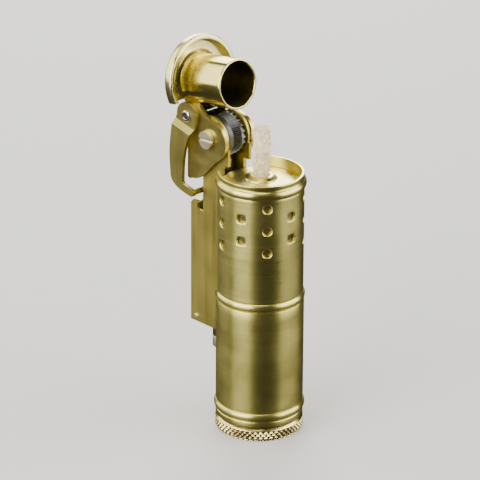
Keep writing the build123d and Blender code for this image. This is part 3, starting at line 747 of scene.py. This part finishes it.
def lid_disc():
    """Pressed disc with a rounded, turned-down rim, cut straight on the hinge side."""
    top = 5.5
    rim = top - 2.1
    radius = 8.15
    recess = 7.1
    outline = rounded([(0.0, top, 0.0), (radius, top, 1.15), (radius, rim, 0.75), (recess + 0.1, rim, 0.3),
                       (recess, rim + 0.2, 0.1), (recess, top - 0.65, 0.35), (0.0, top - 0.6, 0.0)], steps=10)
    piece = lathe("lid_disc_look", split_long(outline, 1.2), segments=192)
    work = bmesh.new()
    work.from_mesh(piece.data)
    work.transform(Matrix.Translation((LID_CENTRE * MM, 0, 0)))
    bmesh.ops.remove_doubles(work, verts=work.verts, dist=0.012 * MM)
    everything = work.verts[:] + work.edges[:] + work.faces[:]
    cut = bmesh.ops.bisect_plane(work, geom=everything, plane_co=(LID_CUT * MM, 0, 0), plane_no=(-1, 0, 0),
                                 clear_outer=True)
    edges = [item for item in cut["geom_cut"] if isinstance(item, bmesh.types.BMEdge)]
    bmesh.ops.triangle_fill(work, edges=edges, use_beauty=True)
    bmesh.ops.recalc_face_normals(work, faces=work.faces)
    in_metres = LID.copy()
    in_metres.translation = LID.translation * MM
    work.transform(in_metres)
    work.to_mesh(piece.data)
    work.free()
    piece.data.set_sharp_from_angle(angle=math.radians(50))
    add(piece, "lid", lid_brass, "lid_brass", "lid_disc")


def snuffer_tube():
    """Drawn tube with a turned-in mouth edge and a small flare at its root."""
    top = 4.88
    mouth = -5.4
    radius = 4.6
    bore = 4.1
    segments = 192
    outline = rounded([
        (bore, top, 0.0), (bore, mouth + 0.25, 0.3), (bore + 0.1, mouth, 0.12), (radius - 0.06, mouth, 0.16),
        (radius, mouth + 0.25, 0.2), (radius, top - 1.1, 0.6), (radius + 0.2, top - 0.4, 0.3),
        (radius + 0.75, top, 0.0)])
    outline = split_long(outline, 0.8)
    place = LID @ Matrix.Translation((LID_CENTRE, 0, 0))
    rows = []
    for r, z in outline:
        row = []
        for t in turns(segments):
            here = r
            past_the_cut = LID_CENTRE + r * math.cos(t) < LID_CUT - 0.01
            if past_the_cut and z > top - 1.3:
                here = min(r, radius)
            row.append((here * math.cos(t), here * math.sin(t), z))
        rows.append(row)
    piece = grid("snuffer_tube_look", rows, place=place, u_length=2 * math.pi * radius)
    add(piece, "lid", snuffer_brass, "snuffer_brass", "snuffer_tube")
    piece.data.materials.append(bore_painted_shade_brass)
    # The bore's faces take the near-black brass: painted shade inside the tube.
    inside = [k for k, (r, z) in enumerate(outline) if r < bore + 0.02]
    for k, polygon in enumerate(piece.data.polygons):
        if k // segments in inside:
            polygon.material_index = 1


# =========================== wick ===========================

def wick():
    """Woven cotton wick, lumpy and frayed, with loose fibres at its top."""
    high = corner_mm("wick")[1]
    radius = high.x - 0.02
    top = high.z + 0.5
    rows = []
    levels = 90
    z_bottom = 46.0
    strands = 5
    for k in range(levels + 1):
        z = z_bottom + (top - 0.9 - z_bottom) * k / levels
        row = []
        for t in turns(56):
            weave = 0.07 * math.sin(t * strands + z * 1.9) + 0.05 * math.sin(t * strands - z * 2.3)
            lump = 0.34 * noise.noise(Vector((math.cos(t) * 1.3, math.sin(t) * 1.3, z * 0.6)))
            fuzz = 0.12 * noise.noise(Vector((math.cos(t) * 5, math.sin(t) * 5, z * 3)))
            r = radius - 0.1 + weave + lump + fuzz + 0.03 * max(0.0, z - 50.0)
            row.append((r * math.cos(t), r * math.sin(t), z))
        rows.append(row)
    for shrink, rise in ((0.85, 0.25), (0.6, 0.42), (0.3, 0.5), (0.02, 0.52)):
        top_row = []
        for x, y, z in rows[levels]:
            bump = 0.25 * noise.noise(Vector((x * 2, y * 2, 3.0)))
            top_row.append((x * shrink, y * shrink, z + rise + bump))
        rows.append(top_row)
    core = grid("wick_look", rows, closed=False, sharp=80.0, u_length=9.0)
    add(core, "tank", wick_cotton, "wick_cotton", "wick")
    add(tubes("wick_fibres", loose_fibres(radius, top), 0.045), "tank", wick_cotton, "wick_cotton")


def loose_fibres(radius, top):
    """Lines of the fibres: short fuzz down the sides, a frayed end, and a few long stray ones."""
    rng = random.Random(7)
    fibres = []
    for _ in range(620):
        t = rng.uniform(0, 2 * math.pi)
        z = rng.uniform(49.0, top - 0.6)
        out = Vector((math.cos(t), math.sin(t), 0))
        start = out * (radius - 0.2) + Vector((0, 0, z))
        along = Vector((rng.uniform(-0.5, 0.5), rng.uniform(-0.5, 0.5), rng.uniform(-0.4, 1.0))).normalized()
        length = rng.uniform(0.4, 1.1)
        fibres.append(fibre(rng, start, out * 0.6 + along, length, radius + 0.4))
    for _ in range(260):
        t = rng.uniform(0, 2 * math.pi)
        r = radius * math.sqrt(rng.random()) * 0.95
        start = Vector((r * math.cos(t), r * math.sin(t), top - 1.2))
        lean = Vector((math.cos(t) * 0.35 * r, math.sin(t) * 0.35 * r, 1.0))
        fibres.append(fibre(rng, start, lean, rng.uniform(0.7, 1.3), radius + 0.4, top - 0.02))
    for _ in range(22):
        z = rng.uniform(51.5, top - 1.2)
        t = rng.uniform(0.1, 1.6)
        start = Vector((math.cos(t), math.sin(t), 0)) * (radius - 0.2) + Vector((0, 0, z))
        out = Vector((math.cos(t), math.sin(t), rng.uniform(-0.5, 0.5)))
        fibres.append(fibre(rng, start, out, rng.uniform(1.2, 2.2), radius + 1.5, top - 0.02))
    return fibres


def fibre(rng, start, direction, length, widest, highest=math.inf):
    """Wandering line of points, held inside the radius `widest` and below `highest`."""
    direction = direction.normalized()
    points = [start]
    steps = 6
    for _ in range(steps):
        direction = (direction + Vector([rng.uniform(-0.45, 0.45) for _ in range(3)])).normalized()
        p = points[-1] + direction * (length / steps)
        reach = math.hypot(p.x, p.y)
        if reach > widest:
            p.x *= widest / reach
            p.y *= widest / reach
        p.z = min(p.z, highest)
        points.append(p)
    return points


def tubes(name, lines, radius, sides=5):
    """Thin tapering tubes along lines of points."""
    points = []
    faces = []
    for line in lines:
        base = len(points)
        for k, p in enumerate(line):
            ahead = line[min(k + 1, len(line) - 1)] - line[max(k - 1, 0)]
            if ahead.length < 1e-9:
                ahead = Vector((0, 0, 1))
            side = ahead.cross(Vector((0.3, 0.5, 0.8))).normalized()
            up = ahead.cross(side).normalized()
            r = radius * (1.0 - 0.6 * k / (len(line) - 1))
            for s in range(sides):
                a = 2 * math.pi * s / sides
                points.append(p + side * (r * math.cos(a)) + up * (r * math.sin(a)))
        for k in range(len(line) - 1):
            ring = base + k * sides
            for s in range(sides):
                e = (s + 1) % sides
                faces.append((ring + s, ring + e, ring + sides + e, ring + sides + s))
        faces.append(tuple(base + s for s in range(sides))[::-1])
        faces.append(tuple(base + (len(line) - 1) * sides + s for s in range(sides)))
    return new_object(name, points, faces, 80.0)


# =========================== small and sheet pieces ===========================

def axle_screw():
    """Cheese-head screw with a cut slot, and its shank."""
    add(refined_copy("axle_screw", 0.12, 3, angle=50.0), "tank", screw_brass, "screw_brass", "axle_screw")


# node, edge rounding in millimetres, body, material, slot
SHEET_PIECES = [
    ("flint_housing", 0.09, "tank", housing_brass, "housing_brass"),
    ("lid_bracket", 0.14, "lid", bracket_brass, "bracket_brass"),
    ("lid_lever", 0.12, "lever", lever_brass, "lever_brass"),
    ("lever_rivet", 0.09, "lid", rivet_steel, "rivet_steel"),
    ("axle_nut", 0.12, "tank", screw_brass, "screw_brass"),
    ("flint_screw", 0.1, "flint_screw", screw_brass, "screw_brass"),
    ("flint_tube", 0.06, "tank", tank_brass, "tank_brass"),
    ("ratchet_pawl", 0.04, "lid", spring_steel, "spring_steel"),
    ("spring_pin", 0.08, "tank", screw_brass, "screw_brass"),
]

KEPT_NODES = {
    "tank_tube": tank_brass,
    "cotton_wadding": cotton,
    "filler_neck": tank_brass,
    "filler_gasket": seal_rubber,
    "flint": flint_alloy,
    "flint_follower": screw_brass,
    "flint_spring": spring_steel,
    "flint_spring_seat": screw_brass,
    "wheel_washers": screw_brass,
    "pawl_rivets": screw_brass,
    "lid_spring": spring_steel,
}


def keep(node, material):
    """A CAD node that stays, with its own finish."""
    mesh = NODES[node].data
    mesh.materials.clear()
    mesh.materials.append(material)


# =========================== stage ===========================

def polar(azimuth, elevation, distance, centre):
    """Place at a distance from a centre. Azimuth 0 is the -Y side and 90 the +X side."""
    a, e = math.radians(azimuth), math.radians(elevation)
    direction = Vector((math.sin(a) * math.cos(e), -math.cos(a) * math.cos(e), math.sin(e)))
    return Vector(centre) + distance * direction


CAMERA_TARGET = (-0.002559, -0.002653, 0.036487)
CAMERA_AZIMUTH = 46.03
CAMERA_ELEVATION = 23.22
CAMERA_DISTANCE = 0.60607
CAMERA_ROLL = 0.354
CAMERA_LENS = 252.8
LIGHT_TARGET = (0, 0, 0.035)
LIGHT_DISTANCE = 0.5
LIGHT_TINT = (1.0, 0.985, 0.95)
# name, azimuth, elevation, width, height, power
LIGHT_PANELS = [
    ("key", -2, 22, 0.44, 0.46, 4.6),
    ("fill", -62, 22, 0.50, 0.46, 2.2),
    ("back", -132, 28, 0.34, 0.40, 3.2),
    ("rim", 128, 22, 0.60, 0.46, 4.6),
    ("top", 20, 80, 0.26, 0.26, 1.0),
]


def add_panel(name, azimuth, elevation, width, height, power):
    """Soft rectangular light that faces the middle of the lighter."""
    light = bpy.data.lights.new(name, "AREA")
    light.shape = "RECTANGLE"
    light.size = width
    light.size_y = height
    light.energy = power
    light.color = LIGHT_TINT
    lamp = bpy.data.objects.new(name, light)
    bpy.context.scene.collection.objects.link(lamp)
    place = polar(azimuth, elevation, LIGHT_DISTANCE, LIGHT_TARGET)
    lamp.location = place
    lamp.rotation_euler = (Vector(LIGHT_TARGET) - place).to_track_quat("-Z", "Y").to_euler()


def camera():
    """Long-lens camera with a slight roll."""
    lens = bpy.data.cameras.new("camera")
    lens.sensor_width = 36.0
    lens.lens = CAMERA_LENS
    lens.clip_start = 0.01
    viewer = bpy.data.objects.new("camera", lens)
    bpy.context.scene.collection.objects.link(viewer)
    viewer.location = polar(CAMERA_AZIMUTH, CAMERA_ELEVATION, CAMERA_DISTANCE, CAMERA_TARGET)
    aim = (Vector(CAMERA_TARGET) - viewer.location).to_track_quat("-Z", "Y").to_matrix().to_4x4()
    viewer.rotation_euler = (aim @ Matrix.Rotation(math.radians(CAMERA_ROLL), 4, "Z")).to_euler()
    bpy.context.scene.camera = viewer


def sheet(name, z, roughness, tone):
    """Wide flat sheet of the stage, at a height in millimetres, with its shader."""
    reach = 1.5 / MM
    corners = [(-reach, -reach, z), (reach, -reach, z), (reach, reach, z), (-reach, reach, z)]
    flat = new_object(name, corners, [(0, 1, 2, 3)])
    shader = Shader(name + "_paper", Roughness=roughness, Base_Color=colour(*tone))
    flat.data.materials.append(shader.material)
    return flat, shader


def studio():
    """Pale floor, soft panels, and dark surroundings that only reflections in the metal see."""
    floor, paper = sheet("floor", 0, 0.7, (0.56, 0.555, 0.545))
    paper.surface.inputs["Specular IOR Level"].default_value = 0.2
    floor.visible_glossy = False
    dark, _ = sheet("floor_reflection", -1, 0.9, (0.16, 0.15, 0.13))
    dark.visible_camera = False
    dark.visible_diffuse = False
    dark.visible_shadow = False
    world = bpy.data.worlds.new("studio")
    world.use_nodes = True
    tree = world.node_tree
    background = tree.nodes["Background"]
    path = tree.nodes.new("ShaderNodeLightPath")
    mix = tree.nodes.new("ShaderNodeMix")
    mix.data_type = "RGBA"
    factor, seen, reflected = mix.inputs[0], mix.inputs[6], mix.inputs[7]
    seen.default_value = colour(0.42, 0.42, 0.43)
    reflected.default_value = colour(0.035, 0.033, 0.028)
    tree.links.new(path.outputs["Is Glossy Ray"], factor)
    tree.links.new(mix.outputs[2], background.inputs["Color"])
    background.inputs["Strength"].default_value = 1.0
    bpy.context.scene.world = world
    for panel in LIGHT_PANELS:
        add_panel(*panel)


def build():
    """Every piece, and the finish of every CAD node that stays."""
    lower_casing()
    filler_cap()
    top_plate()
    wick_collar()
    windscreen()
    spark_wheel()
    wheel_ratchet()
    lid_disc()
    snuffer_tube()
    wick()
    axle_screw()
    for node, width, body, material, slot in SHEET_PIECES:
        add(refined_copy(node, width), body, material, slot, node)
    for node, material in KEPT_NODES.items():
        keep(node, material)


camera()
build()
studio()
